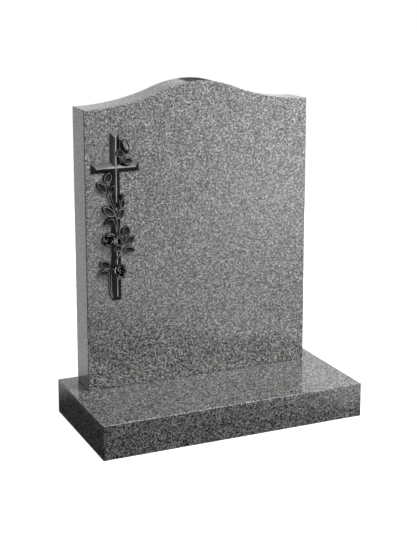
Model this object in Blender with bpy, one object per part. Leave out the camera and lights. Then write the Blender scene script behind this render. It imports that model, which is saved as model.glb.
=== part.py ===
"""Ogee lawn headstone: a polished granite headstone with an ogee top, standing on a granite base, with a cast
cross entwined with a climbing rose fixed to its face.

Metres, +Z up. The origin is the middle of the base's underside. The face looks along -Y and X runs across it.
"""

import math

import bmesh
import bpy
from mathutils import Matrix, Vector

# Base
BASE_WIDTH = 0.610
BASE_DEPTH = 0.305
BASE_HEIGHT = 0.076
BASE_ARRIS = 0.003

# Headstone
STONE_WIDTH = 0.533
STONE_THICKNESS = 0.076
SHOULDER_HEIGHT = 0.620  # from its underside to the shoulders
CREST_RISE = 0.051  # from the shoulders to the crest
CREST_RADIUS = 0.225
STONE_ARRIS = 0.0025
FRONT_LEDGE = 0.203  # from the base's front to the headstone's face

# Cross
CROSS_HEIGHT = 0.368
CROSS_SPAN = 0.108
CROSS_SIDE = 0.068  # from the headstone's left edge to the upright's centre line
CROSS_FOOT = 0.200  # from the headstone's underside to the foot of the cross
ARM_DROP = 0.0745  # from the top of the cross to the arms' centre line
BAR_WIDTH = 0.0205
BAR_EDGE = 0.002  # height of the bars' upright edge above their back
RIDGE_HEIGHT = 0.008
RIDGE_WIDTH = 0.0022

# Climbing rose
VINE_RADIUS = 0.0018
TWIG_RADIUS = 0.0012
LEAF_EDGE = 0.0012
LEAF_DISH = 0.0014  # depth of the leaf's middle below its rolled rim
BESIDE = 0.0034  # height of the leaves beside the bars
OVER = RIDGE_HEIGHT + 0.0016  # height of the leaves that cross the bars
PETAL_THICKNESS = 0.0011
ROSE_RADIUS = 0.0160
ROSE_DEPTH = 0.0095
BUD_WIDTH = 0.0155
HIP_RADIUS = 0.0060

JOINT = 0.0003  # clear joint between pieces that touch
SUNK = 0.002  # how far the foliage runs on behind the back of the casting before it is cut flat

HUNDREDTH = CROSS_HEIGHT / 100  # the climbing rose is drawn in hundredths of the cross's height
STONE_FACE = -BASE_DEPTH / 2 + FRONT_LEDGE
OUTWARDS = Vector((0, -1, 0))

ARC_STEP = math.radians(1.6)
ARRIS_STEPS = 2
SHORTEST_EDGE = 0.00003
LEAF_STATIONS = (0.0, 0.12, 0.32, 0.55, 0.78, 0.93, 1.0)
PETAL_STATIONS = (0.0, 0.45, 0.82, 1.0)
PETAL_ACROSS = (-1.0, -0.36, 0.36, 1.0)

# Each leaf: where it starts and ends, across from the upright's centre line and up from its foot in
# hundredths of the cross's height, its width in the same hundredths, and its height at the base and the tip.
LEAVES = (
    ((2.8, 85.2), (1.7, 90.9), 4.5, OVER, OVER),
    ((3.8, 83.6), (10.2, 83.2), 4.5, OVER, OVER),
    ((-6.0, 70.6), (-3.6, 77.2), 5.0, BESIDE, BESIDE),
    ((-5.8, 64.6), (-11.2, 71.8), 4.3, BESIDE, BESIDE),
    ((-4.6, 64.6), (-1.2, 69.6), 3.7, BESIDE, OVER),
    ((3.0, 54.8), (4.7, 60.6), 3.1, BESIDE, BESIDE),
    ((1.5, 55.0), (-0.2, 59.3), 1.8, OVER, OVER),
    ((-1.4, 50.8), (-7.9, 56.9), 4.8, OVER, BESIDE),
    ((-1.0, 49.5), (4.5, 55.1), 5.0, OVER, OVER),
    ((-1.4, 49.3), (-7.1, 45.9), 4.2, OVER, BESIDE),
    ((6.1, 37.7), (6.3, 44.9), 5.2, BESIDE, BESIDE),
    ((5.7, 33.5), (11.3, 38.0), 4.7, BESIDE, BESIDE),
    ((4.4, 30.3), (11.6, 29.1), 4.5, BESIDE, BESIDE),
    ((3.1, 31.9), (-2.7, 31.7), 4.5, OVER, OVER),
    ((-4.0, 19.6), (-10.1, 24.1), 5.2, BESIDE, BESIDE),
    ((-4.4, 17.5), (-11.7, 16.6), 4.0, BESIDE, BESIDE),
)

# Each stem: its radius, then its points, as across, up and height of its centre above the back.
STEMS = (
    (
        VINE_RADIUS,
        (-2.6, 1.6, 0.0014),
        (-3.3, 5.0, 0.0014),
        (-3.4, 10.0, 0.0014),
        (-3.4, 15.0, 0.0016),
        (-3.1, 18.6, 0.0034),
        (-2.3, 21.8, 0.0068),
        (-0.9, 24.6, 0.0092),
        (0.6, 27.0, 0.0092),
        (2.2, 29.2, 0.0072),
        (3.1, 31.9, 0.0056),
        (2.6, 35.0, 0.0066),
        (1.4, 38.2, 0.0086),
        (1.2, 42.0, 0.0090),
        (0.7, 45.6, 0.0094),
        (-0.5, 49.0, 0.0096),
        (-1.3, 52.4, 0.0094),
        (-2.1, 55.8, 0.0080),
        (-3.2, 58.6, 0.0050),
        (-4.0, 61.4, 0.0026),
        (-5.4, 64.2, 0.0026),
        (-6.2, 66.0, 0.0028),
    ),
    (
        VINE_RADIUS,
        (-3.2, 2.2, 0.0012),
        (-4.2, 5.6, 0.0012),
        (-4.5, 9.8, 0.0012),
        (-4.8, 13.6, 0.0014),
        (-4.7, 16.6, 0.0020),
        (-4.2, 19.4, 0.0028),
    ),
    (TWIG_RADIUS, (0.7, 37.6, 0.0088), (-0.4, 42.0, 0.0090), (-1.3, 46.2, 0.0080), (-1.5, 49.4, 0.0088)),
    (
        TWIG_RADIUS,
        (-0.9, 54.6, 0.0092),
        (-1.5, 57.4, 0.0084),
        (-2.6, 60.4, 0.0060),
        (-3.0, 63.0, 0.0046),
        (-4.4, 65.0, 0.0036),
    ),
    (TWIG_RADIUS, (-4.8, 62.8, 0.0026), (-4.4, 66.6, 0.0024), (-5.2, 69.4, 0.0024), (-5.8, 71.4, 0.0028)),
    (
        TWIG_RADIUS,
        (-3.0, 62.8, 0.0040),
        (-1.8, 68.0, 0.0024),
        (0.4, 75.0, 0.0024),
        (2.4, 80.4, 0.0040),
        (3.6, 83.3, 0.0080),
        (4.5, 85.6, 0.0062),
        (6.2, 87.4, 0.0042),
        (7.4, 89.2, 0.0040),
    ),
    (TWIG_RADIUS, (3.6, 83.2, 0.0080), (3.4, 84.4, 0.0084), (2.8, 86.0, 0.0086)),
    (
        TWIG_RADIUS,
        (-0.4, 49.4, 0.0090),
        (1.4, 52.2, 0.0090),
        (2.6, 54.8, 0.0076),
        (2.8, 57.6, 0.0062),
        (3.6, 60.4, 0.0040),
        (4.2, 62.4, 0.0030),
    ),
    (TWIG_RADIUS, (2.4, 54.2, 0.0078), (2.0, 57.4, 0.0086), (1.6, 60.4, 0.0086)),
    (TWIG_RADIUS, (2.6, 54.6, 0.0070), (5.0, 55.0, 0.0044), (7.6, 55.2, 0.0034)),
    (TWIG_RADIUS, (2.9, 33.0, 0.0060), (0.2, 34.4, 0.0084), (-3.2, 35.8, 0.0060)),
    (TWIG_RADIUS, (2.9, 32.6, 0.0060), (4.4, 33.4, 0.0034), (6.2, 33.9, 0.0030)),
    (TWIG_RADIUS, (4.0, 33.2, 0.0040), (5.4, 35.4, 0.0028), (6.1, 38.4, 0.0030)),
    (TWIG_RADIUS, (2.9, 31.0, 0.0060), (3.8, 30.3, 0.0040), (5.0, 30.2, 0.0032)),
    (TWIG_RADIUS, (-2.9, 19.6, 0.0046), (-1.0, 18.4, 0.0078), (1.4, 17.6, 0.0086)),
    (TWIG_RADIUS, (-4.6, 16.4, 0.0020), (-4.4, 17.6, 0.0026), (-5.6, 17.5, 0.0030)),
)

# Each open rose: across, up, height of its heart, and the way it faces, across and up from straight out.
ROSES = (
    (-4.6, 37.0, 0.0040, (-0.45, 0.40)),
    (1.9, 17.5, 0.0078, (0.60, 0.15)),
)

# The rosebud by the top of the cross, from its calyx to its tip, and the small closed buds and hips.
BUD = ((7.2, 88.4), (5.0, 96.6), 0.0046)
HIPS = ((4.2, 62.4, 0.0030, 1.0), (2.8, 36.4, 0.0060, 0.9), (1.5, 60.4, 0.0090, 0.45))


def clear_scene():
    for old in list(bpy.data.objects):
        bpy.data.objects.remove(old, do_unlink=True)


def finish(name, colour, roughness, metallic=0.0):
    material = bpy.data.materials.new(name)
    material.use_nodes = True
    shader = material.node_tree.nodes["Principled BSDF"]
    shader.inputs["Base Color"].default_value = (*colour, 1.0)
    shader.inputs["Roughness"].default_value = roughness
    shader.inputs["Metallic"].default_value = metallic
    return material


def add_object(name, bm, material=None, collection=None):
    bmesh.ops.recalc_face_normals(bm, faces=bm.faces)
    mesh = bpy.data.meshes.new(name)
    bm.to_mesh(mesh)
    bm.free()
    mesh.shade_smooth()
    mesh.set_sharp_from_angle(angle=math.radians(30))
    if material:
        mesh.materials.append(material)
    made = bpy.data.objects.new(name, mesh)
    (collection or bpy.context.scene.collection).objects.link(made)
    return made


def extruded(outline, along):
    """A closed prism: the outline's points as one face, extruded by the vector."""
    bm = bmesh.new()
    face = bm.faces.new([bm.verts.new(point) for point in outline])
    sides = bmesh.ops.extrude_face_region(bm, geom=[face])
    moved = [item for item in sides["geom"] if isinstance(item, bmesh.types.BMVert)]
    bmesh.ops.translate(bm, verts=moved, vec=along)
    bmesh.ops.recalc_face_normals(bm, faces=bm.faces)
    return bm


def round_arrises(bm, size):
    """Rounds every sharp edge except those of the underside, where the piece is bedded."""
    sharp = [
        edge
        for edge in bm.edges
        if edge.calc_face_angle() > math.radians(20) and max(v.co.z for v in edge.verts) > size
    ]
    bmesh.ops.bevel(
        bm, geom=sharp, offset=size, segments=ARRIS_STEPS, profile=0.5, affect="EDGES", clamp_overlap=True
    )


def make_base(granite):
    half_width = BASE_WIDTH / 2
    half_depth = BASE_DEPTH / 2
    corners = [
        Vector((across * half_width, along * half_depth, 0))
        for across, along in ((-1, -1), (1, -1), (1, 1), (-1, 1))
    ]
    bm = extruded(corners, Vector((0, 0, BASE_HEIGHT)))
    round_arrises(bm, BASE_ARRIS)
    return add_object("base", bm, granite)


def ogee_outline():
    """The headstone's front outline: two upright sides, and an ogee top of tangent arcs that starts level at
    each shoulder, hollow, and turns over into the round crest."""
    half = STONE_WIDTH / 2
    turn = 2 * math.atan2(CREST_RISE, half)
    hollow_radius = half / math.sin(turn) - CREST_RADIUS
    steps = max(4, round(turn / ARC_STEP))
    right = [(half, 0.0)]
    for step in range(steps):
        angle = turn * step / steps
        right.append(
            (
                half - hollow_radius * math.sin(angle),
                SHOULDER_HEIGHT + hollow_radius * (1 - math.cos(angle)),
            )
        )
    crest = SHOULDER_HEIGHT + CREST_RISE
    for step in range(steps):
        angle = turn * (1 - step / steps)
        right.append((CREST_RADIUS * math.sin(angle), crest - CREST_RADIUS * (1 - math.cos(angle))))
    left = [(-x, z) for x, z in reversed(right)]
    return [Vector((x, 0, z)) for x, z in right + [(0.0, crest)] + left]


def make_headstone(granite):
    bm = extruded(ogee_outline(), Vector((0, STONE_THICKNESS, 0)))
    round_arrises(bm, STONE_ARRIS)
    stone = add_object("headstone", bm, granite)
    stone.location = (0, STONE_FACE, BASE_HEIGHT + JOINT)
    return stone


def at(across, up, height):
    """A point of the casting, from hundredths of the cross's height and a height above its back."""
    return Vector((across * HUNDREDTH, -height, up * HUNDREDTH))


def make_cross(metal):
    """The bare cross: bars with an upright edge, and slopes that rise to a narrow ridge, mitred at each end."""
    half = BAR_WIDTH / 2
    arm = CROSS_SPAN / 2
    arm_centre = CROSS_HEIGHT - ARM_DROP
    quarter = [
        (half, 0.0),
        (half, arm_centre - half),
        (arm, arm_centre - half),
        (arm, arm_centre + half),
        (half, arm_centre + half),
        (half, CROSS_HEIGHT),
    ]
    outline = [Vector((x, SUNK, z)) for x, z in quarter]
    outline += [Vector((-x, SUNK, z)) for x, z in reversed(quarter)]
    bm = extruded(outline, OUTWARDS * (SUNK + BAR_EDGE))
    front = min(bm.faces, key=lambda face: face.calc_center_median().y)
    bmesh.ops.inset_region(
        bm,
        faces=[front],
        thickness=(BAR_WIDTH - RIDGE_WIDTH) / 2,
        depth=RIDGE_HEIGHT - BAR_EDGE,
        use_even_offset=True,
    )
    return add_object("rose_cross", bm, metal)


def loft(name, loops, collection):
    """A closed skin through loops with equally many points, capped at both ends."""
    bm = bmesh.new()
    rings = [[bm.verts.new(point) for point in loop] for loop in loops]
    count = len(rings[0])
    for lower, upper in zip(rings, rings[1:]):
        for i in range(count):
            j = (i + 1) % count
            bm.faces.new((lower[i], lower[j], upper[j], upper[i]))
    bm.faces.new(rings[0][::-1])
    bm.faces.new(rings[-1])
    bmesh.ops.triangulate(bm, faces=bm.faces)
    return add_object(name, bm, collection=collection)


def leaf_width(share):
    """The half-width of a rose leaf along its length: round at its base and pointed at its tip."""
    widest = 0.37
    peak = widest**0.5 * (1 - widest) ** 0.85
    return max(0.05, share**0.5 * (1 - share) ** 0.85 / peak)


def make_leaf(name, base, tip, width, base_height, tip_height, collection):
    """A leaf dished along its middle vein inside a rolled rim, with a narrower foot that runs to the back."""
    start = at(*base, base_height)
    run = at(*tip, tip_height) - start
    side = run.cross(OUTWARDS).normalized()
    half = width * HUNDREDTH / 2
    arch = 0.06 * run.length
    foot_share = 0.5
    loops = []
    for share in LEAF_STATIONS:
        spread = half * leaf_width(share)
        relief = min(1.0, 4 * share * (1 - share) + 0.15)
        spine = start + run * share + OUTWARDS * arch * math.sin(math.pi * share)
        top = [
            spine + side * spread * across + OUTWARDS * rise * relief
            for across, rise in ((-1, 0), (-0.7, LEAF_DISH / 2), (0, -LEAF_DISH / 2), (0.7, LEAF_DISH / 2), (1, 0))
        ]
        lower = [spine + side * spread * across - OUTWARDS * LEAF_EDGE for across in (1, -1)]
        foot_at = start + run * (0.5 + (share - 0.5) * foot_share)
        foot = [
            Vector((point.x, SUNK * (1 + share), point.z))
            for point in (foot_at + side * spread * foot_share * across for across in (1, -1))
        ]
        loops.append(top + [lower[0]] + foot + [lower[1]])
    return loft(name, loops, collection)


def make_stem(name, radius, points, collection):
    """A round stem through the points, a little thinner towards its end."""
    curve = bpy.data.curves.new(name, "CURVE")
    curve.dimensions = "3D"
    curve.bevel_depth = radius
    curve.bevel_resolution = 1
    curve.resolution_u = 2
    curve.use_fill_caps = True
    spline = curve.splines.new("BEZIER")
    spline.bezier_points.add(len(points) - 1)
    for i, (knot, point) in enumerate(zip(spline.bezier_points, points)):
        knot.co = at(*point)
        knot.handle_left_type = "AUTO"
        knot.handle_right_type = "AUTO"
        knot.radius = 1 - 0.25 * i / len(points)
    guide = bpy.data.objects.new(name, curve)
    bpy.context.scene.collection.objects.link(guide)
    swept = bpy.data.meshes.new_from_object(guide.evaluated_get(bpy.context.evaluated_depsgraph_get()))
    bpy.data.objects.remove(guide)
    bm = bmesh.new()
    bm.from_mesh(swept)
    bpy.data.meshes.remove(swept)
    bmesh.ops.remove_doubles(bm, verts=bm.verts, dist=radius / 50)
    return add_object(name, bm, collection=collection)


def turned(name, profile, sides, placed, collection, lobes=0, lobe_depth=0.0, twist=0.0):
    """A turned solid, with as many petal-like lobes as asked for, twisted along its axis."""
    loops = []
    for share, (radius, height) in enumerate(profile):
        loop = []
        for i in range(sides):
            angle = 2 * math.pi * i / sides
            wave = 1 + lobe_depth * math.cos(lobes * angle + twist * share)
            loop.append(
                placed @ Vector((radius * wave * math.cos(angle), radius * wave * math.sin(angle), height))
            )
        loops.append(loop)
    return loft(name, loops, collection)


def facing(place, direction):
    """The frame of a flower at the place, whose +Z is the direction."""
    turn = Vector((0, 0, 1)).rotation_difference(direction.normalized())
    return Matrix.Translation(place) @ turn.to_matrix().to_4x4()


def make_petal(name, root, rim, half_angle, azimuth, placed, collection):
    """A cupped petal from its root to its rim, each given as distance from the axis and height along it. One of
    its sides is tucked in under the next petal."""
    slope = math.atan2(rim[1] - root[1], rim[0] - root[0])
    loops = []
    for share in PETAL_STATIONS:
        reach = root[0] + (rim[0] - root[0]) * share
        height = root[1] + (rim[1] - root[1]) * math.sin(math.pi / 2 * share)
        spread = half_angle * (0.62 + 0.38 * math.sin(math.pi * 0.78 * share))
        wall = PETAL_THICKNESS * (1 - 0.45 * share)
        outside = []
        inside = []
        for across in PETAL_ACROSS:
            angle = azimuth + spread * across
            droop = (rim[0] - root[0]) * 0.20 * share * across * across
            tuck = (rim[0] - root[0]) * 0.13 * share * across
            for side, offset in ((outside, 0.0), (inside, wall)):
                distance = reach - droop - tuck - offset * math.sin(slope)
                point = Vector(
                    (distance * math.cos(angle), distance * math.sin(angle), height + offset * math.cos(slope))
                )
                side.append(placed @ point)
        loops.append(outside + inside[::-1])
    return loft(name, loops, collection)


def make_rose(name, across, up, height, tilt, collection):
    """An open rose: a closed heart in three whorls of petals, the outer ones lying back."""
    placed = facing(at(across, up, height), Vector((tilt[0], -1, tilt[1])))
    heart = 0.24 * ROSE_RADIUS
    turned(
        f"{name}_heart",
        (
            (0.60 * ROSE_RADIUS, -ROSE_DEPTH - SUNK),
            (0.42 * ROSE_RADIUS, 0.05 * ROSE_DEPTH),
            (heart, 0.60 * ROSE_DEPTH),
            (0.55 * heart, 0.95 * ROSE_DEPTH),
            (0.15 * heart, 1.02 * ROSE_DEPTH),
        ),
        8,
        placed,
        collection,
    )
    whorls = (
        (5, (0.22, -0.10), (1.00, 0.34), 44, 0),
        (4, (0.20, 0.02), (0.70, 0.78), 54, 31),
        (3, (0.16, 0.20), (0.40, 1.06), 66, 12),
    )
    for ring, (count, root, rim, half_angle, start) in enumerate(whorls):
        for i in range(count):
            make_petal(
                f"{name}_petal_{ring}_{i}",
                (root[0] * ROSE_RADIUS, root[1] * ROSE_DEPTH),
                (rim[0] * ROSE_RADIUS, rim[1] * ROSE_DEPTH),
                math.radians(half_angle),
                math.radians(start + 360 * i / count),
                placed,
                collection,
            )


def make_bud(collection):
    """A long bud of three furled petals on a round calyx."""
    base, tip, height = BUD
    start = at(*base, height)
    run = at(*tip, height) - start
    placed = facing(start, run)
    half = BUD_WIDTH / 2
    length = run.length
    profile = (
        (0.30, -0.02),
        (0.62, 0.06),
        (0.95, 0.22),
        (1.00, 0.40),
        (0.84, 0.62),
        (0.56, 0.82),
        (0.26, 0.96),
        (0.10, 1.00),
    )
    turned(
        "bud",
        [(radius * half, along * length) for radius, along in profile],
        12,
        placed,
        collection,
        lobes=3,
        lobe_depth=0.16,
        twist=0.25,
    )
    calyx = ((0.20, -0.16), (0.42, -0.10), (0.44, -0.02), (0.30, 0.05))
    turned("calyx", [(radius * half, along * length) for radius, along in calyx], 8, placed, collection)
    for i in range(3):
        make_petal(
            f"sepal_{i}",
            (0.30 * half, -0.02 * length),
            (0.98 * half, 0.30 * length),
            math.radians(24),
            math.radians(60 + 120 * i),
            placed,
            collection,
        )


def make_hip(name, across, up, height, size, collection):
    """A small round bud with a dimple at its crown."""
    placed = facing(at(across, up, height), OUTWARDS)
    radius = size * HIP_RADIUS
    profile = ((0.70, -0.6), (1.0, 0.1), (0.82, 0.55), (0.50, 0.66), (0.22, 0.34))
    turned(name, [(share * radius, rise * radius) for share, rise in profile], 8, placed, collection)


def make_foliage():
    """Everything that climbs over the cross, each leaf, stem and petal a closed shape of its own."""
    foliage = bpy.data.collections.new("foliage")
    bpy.context.scene.collection.children.link(foliage)
    for i, leaf in enumerate(LEAVES):
        make_leaf(f"leaf_{i:02d}", *leaf, foliage)
    for i, (radius, *points) in enumerate(STEMS):
        make_stem(f"stem_{i:02d}", radius, points, foliage)
    for i, rose in enumerate(ROSES):
        make_rose(f"rose_{i}", *rose, foliage)
    for i, hip in enumerate(HIPS):
        make_hip(f"hip_{i}", *hip, foliage)
    make_bud(foliage)
    for shape in foliage.objects:
        shape.hide_render = True
        shape.display_type = "WIRE"
    return foliage


def make_back_cutter():
    """A slab behind the casting, from its flat back on, that trims the foliage flush with it."""
    reach = CROSS_HEIGHT
    corners = [Vector((x * reach, 0, reach / 2 + z * reach)) for x, z in ((-1, -1), (1, -1), (1, 1), (-1, 1))]
    cutter = add_object("back_cutter", extruded(corners, Vector((0, reach / 4, 0))))
    cutter.hide_render = True
    cutter.display_type = "WIRE"
    return cutter


def make_rose_cross(metal):
    """The casting: the cross and its climbing rose made one body, cut flat at the back."""
    cross = make_cross(metal)
    joined = cross.modifiers.new("climbing rose", "BOOLEAN")
    joined.operation = "UNION"
    joined.solver = "MANIFOLD"
    joined.operand_type = "COLLECTION"
    joined.collection = make_foliage()
    tidied = cross.modifiers.new("short edges", "WELD")
    tidied.mode = "CONNECTED"
    tidied.merge_threshold = SHORTEST_EDGE
    cutter = make_back_cutter()
    flush = cross.modifiers.new("flat back", "BOOLEAN")
    flush.operation = "DIFFERENCE"
    flush.solver = "MANIFOLD"
    flush.object = cutter
    place = (
        -STONE_WIDTH / 2 + CROSS_SIDE,
        STONE_FACE - JOINT,
        BASE_HEIGHT + JOINT + CROSS_FOOT,
    )
    for shape in (cross, cutter, *joined.collection.objects):
        shape.location = place
    return cross


def main():
    clear_scene()
    granite = finish("polished_granite", (0.22, 0.22, 0.215), 0.12)
    metal = finish("dark_bronze", (0.035, 0.034, 0.033), 0.35, 0.6)
    make_base(granite)
    make_headstone(granite)
    make_rose_cross(metal)


main()
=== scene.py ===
"""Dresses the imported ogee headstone: two polished granite stones and the cast cross with its climbing rose,
on a plain pale floor. Metres, +Z up, the face looks along -Y."""

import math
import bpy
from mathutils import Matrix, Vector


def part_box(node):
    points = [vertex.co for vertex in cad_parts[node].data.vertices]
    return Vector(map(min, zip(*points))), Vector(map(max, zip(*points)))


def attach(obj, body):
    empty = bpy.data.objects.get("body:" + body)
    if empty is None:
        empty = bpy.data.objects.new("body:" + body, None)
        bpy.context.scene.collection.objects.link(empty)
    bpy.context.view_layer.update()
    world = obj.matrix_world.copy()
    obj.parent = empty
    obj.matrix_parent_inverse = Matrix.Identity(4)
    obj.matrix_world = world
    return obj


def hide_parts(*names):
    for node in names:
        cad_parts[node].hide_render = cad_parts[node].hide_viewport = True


bl_info = {
    "name": "Ogee Headstone",
    "version": (1, 0, 0),
    "blender": (4, 5, 0),
    "location": "View3D > Sidebar > Headstone",
    "description": "Builds a polished granite ogee headstone with a cast rose cross",
    "category": "Object",
}

import bmesh
import bpy
from bpy.props import FloatProperty, FloatVectorProperty, PointerProperty
from bpy.types import Operator, Panel, PropertyGroup
from mathutils import Matrix, Vector

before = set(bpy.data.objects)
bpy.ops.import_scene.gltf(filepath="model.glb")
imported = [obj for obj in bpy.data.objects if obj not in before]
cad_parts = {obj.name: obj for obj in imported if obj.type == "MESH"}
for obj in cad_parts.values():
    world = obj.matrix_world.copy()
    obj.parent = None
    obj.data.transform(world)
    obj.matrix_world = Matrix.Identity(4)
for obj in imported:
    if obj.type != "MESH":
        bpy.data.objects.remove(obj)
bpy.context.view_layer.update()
BASE_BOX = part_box("base")
STONE_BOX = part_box("headstone")
CROSS_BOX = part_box("rose_cross")

# The headstone's sweep is made of this many columns, and its edges turn sharply past this angle.
SWEEP_COLUMNS = 96
STONE_CREASE = math.radians(40)
ARRIS_STEPS = 4

# Corners closer together than WELD are made one, and those within SAME of a place or LEVEL of a height count
# as being there. A face looks along an axis when this share of its normal does.
WELD = 0.000005
SAME = 0.00001
LEVEL = 0.0001
FACING = 0.9

# The casting's own frame: the foot of the upright's centre line, on the flat back.
CROSS_FOOT = Vector(((CROSS_BOX[0].x + CROSS_BOX[1].x) / 2, CROSS_BOX[1].y, CROSS_BOX[0].z))
CROSS_HEIGHT = CROSS_BOX[1].z - CROSS_BOX[0].z
CROSS_SPAN = CROSS_BOX[1].x - CROSS_BOX[0].x
HUNDREDTH = CROSS_HEIGHT / 100
OUTWARDS = Vector((0, -1, 0))
RIDGE_ROUNDING = 0.0005

# The angles past which the shading of the bars and of the rose turns sharply.
BAR_CREASE = math.radians(25)
ROSE_CREASE = math.radians(50)

# A petal is left out when more than this share of its corners lies behind the casting's back.
BURIED = 0.4

# The height above the back of the leaves beside the bars, and of the leaves that cross them.
BESIDE = 0.0034
OVER = 0.0096

# The leaf, from a round one wide and one long: how far its tip and its stalk end are drawn out, and how much
# goes with them. Its rolled rim's steps are width and rise, and its dish's steps are scale and drop about
# its middle. The vein is raised where the dish is this much below the rim's crest.
LEAF_SIDES = 20
LEAF_TIP = 0.15
LEAF_TIP_REACH = 0.45
LEAF_STALK = 0.04
LEAF_STALK_REACH = 0.3
LEAF_RIM = ((0.0013, 0.0016), (0.0005, 0.0003), (0.0005, -0.0003), (0.0008, -0.0012))
LEAF_DISH = ((0.74, -0.0009), (0.66, -0.0006), (0.50, -0.0002))
LEAF_MIDDLE = 0.45
LEAF_HOLLOW = 0.0006
LEAF_VEIN = 0.0005

# The rub on a leaf starts this far below its rim's crest and is full that much higher.
LEAF_RUB_START = 0.0008
LEAF_RUB_RISE = 0.0006

# A leaf's outline is drawn in to this share on its way down to the casting's back.
LEAF_FOOT = 0.8

# Smoothing draws a leaf's outline in, so each one starts this much wider and longer.
LEAF_GROWTH = (1.1, 1.07)

# Each leaf: where it starts and ends, across from the upright's centre line and up from its foot in
# hundredths of the cross's height, its width in the same hundredths, and its height at the base and the tip.
LEAVES = (
    ((2.8, 85.2), (1.7, 90.9), 4.5, OVER, OVER),
    ((3.8, 83.6), (10.2, 83.2), 4.5, OVER, OVER),
    ((-6.0, 70.6), (-3.6, 77.2), 5.0, BESIDE, BESIDE),
    ((-5.8, 64.6), (-11.2, 71.8), 4.3, BESIDE, BESIDE),
    ((-4.6, 64.6), (-1.2, 69.6), 3.7, BESIDE, OVER),
    ((3.0, 54.8), (4.7, 60.6), 3.1, BESIDE, BESIDE),
    ((1.5, 55.0), (-0.2, 59.3), 1.8, OVER, OVER),
    ((-1.4, 50.8), (-7.9, 56.9), 4.8, OVER, BESIDE),
    ((-1.0, 49.5), (4.5, 55.1), 5.0, OVER, OVER),
    ((-1.4, 49.3), (-7.1, 45.9), 4.2, OVER, BESIDE),
    ((6.1, 37.7), (6.3, 44.9), 5.2, BESIDE, BESIDE),
    ((5.7, 33.5), (11.3, 38.0), 4.7, BESIDE, BESIDE),
    ((4.4, 30.3), (11.6, 29.1), 4.5, BESIDE, BESIDE),
    ((3.1, 31.9), (-2.7, 31.7), 4.5, OVER, OVER),
    ((-4.0, 19.6), (-10.1, 24.1), 5.2, BESIDE, BESIDE),
    ((-4.4, 17.5), (-11.7, 16.6), 4.0, BESIDE, BESIDE),
)

# Each stem: its radius, then its points, as across, up and the height of its centre above the back.
VINE = 0.0018
TWIG = 0.0012
STEMS = (
    (
        VINE,
        (-2.6, 1.6, 0.0014), (-3.3, 5.0, 0.0014), (-3.4, 10.0, 0.0014), (-3.4, 15.0, 0.0016),
        (-3.1, 18.6, 0.0034), (-2.3, 21.8, 0.0068), (-0.9, 24.6, 0.0092), (0.6, 27.0, 0.0092),
        (2.2, 29.2, 0.0072), (3.1, 31.9, 0.0056), (2.6, 35.0, 0.0066), (1.4, 38.2, 0.0086),
        (1.2, 42.0, 0.0090), (0.7, 45.6, 0.0094), (-0.5, 49.0, 0.0096), (-1.3, 52.4, 0.0094),
        (-2.1, 55.8, 0.0080), (-3.2, 58.6, 0.0050), (-4.0, 61.4, 0.0026), (-5.4, 64.2, 0.0026),
        (-6.2, 66.0, 0.0028),
    ),
    (
        VINE,
        (-3.2, 2.2, 0.0012), (-4.2, 5.6, 0.0012), (-4.5, 9.8, 0.0012), (-4.8, 13.6, 0.0014),
        (-4.7, 16.6, 0.0020), (-4.2, 19.4, 0.0028),
    ),
    (TWIG, (0.7, 37.6, 0.0088), (-0.4, 42.0, 0.0090), (-1.3, 46.2, 0.0080), (-1.5, 49.4, 0.0088)),
    (
        TWIG,
        (-0.9, 54.6, 0.0092), (-1.5, 57.4, 0.0084), (-2.6, 60.4, 0.0060), (-3.0, 63.0, 0.0046),
        (-4.4, 65.0, 0.0036),
    ),
    (TWIG, (-4.8, 62.8, 0.0026), (-4.4, 66.6, 0.0024), (-5.2, 69.4, 0.0024), (-5.8, 71.4, 0.0028)),
    (
        TWIG,
        (-3.0, 62.8, 0.0040), (-1.8, 68.0, 0.0024), (0.4, 75.0, 0.0024), (2.4, 80.4, 0.0040),
        (3.6, 83.3, 0.0080), (4.5, 85.6, 0.0062), (6.2, 87.4, 0.0042), (7.4, 89.2, 0.0040),
    ),
    (TWIG, (3.6, 83.2, 0.0080), (3.4, 84.4, 0.0084), (2.8, 86.0, 0.0086)),
    (
        TWIG,
        (-0.4, 49.4, 0.0090), (1.4, 52.2, 0.0090), (2.6, 54.8, 0.0076), (2.8, 57.6, 0.0062),
        (3.6, 60.4, 0.0040), (4.2, 62.4, 0.0030),
    ),
    (TWIG, (2.4, 54.2, 0.0078), (2.0, 57.4, 0.0086), (1.6, 60.4, 0.0086)),
    (TWIG, (2.6, 54.6, 0.0070), (5.0, 55.0, 0.0044), (7.6, 55.2, 0.0034)),
    (TWIG, (2.9, 33.0, 0.0060), (0.2, 34.4, 0.0084), (-3.2, 35.8, 0.0060)),
    (TWIG, (2.9, 32.6, 0.0060), (4.4, 33.4, 0.0034), (6.2, 33.9, 0.0030)),
    (TWIG, (4.0, 33.2, 0.0040), (5.4, 35.4, 0.0028), (6.1, 38.4, 0.0030)),
    (TWIG, (2.9, 31.0, 0.0060), (3.8, 30.3, 0.0040), (5.0, 30.2, 0.0032)),
    (TWIG, (-2.9, 19.6, 0.0046), (-1.0, 18.4, 0.0078), (1.4, 17.6, 0.0086)),
    (TWIG, (-4.6, 16.4, 0.0020), (-4.4, 17.6, 0.0026), (-5.6, 17.5, 0.0030)),
)

# Each open rose: across, up, the height of its heart, the way it faces as across and up, and its size.
ROSES = (
    (-4.6, 37.0, 0.0040, (-0.32, 0.28), 1.0),
    (1.7, 17.5, 0.0070, (0.42, 0.14), 1.08),
)

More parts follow.
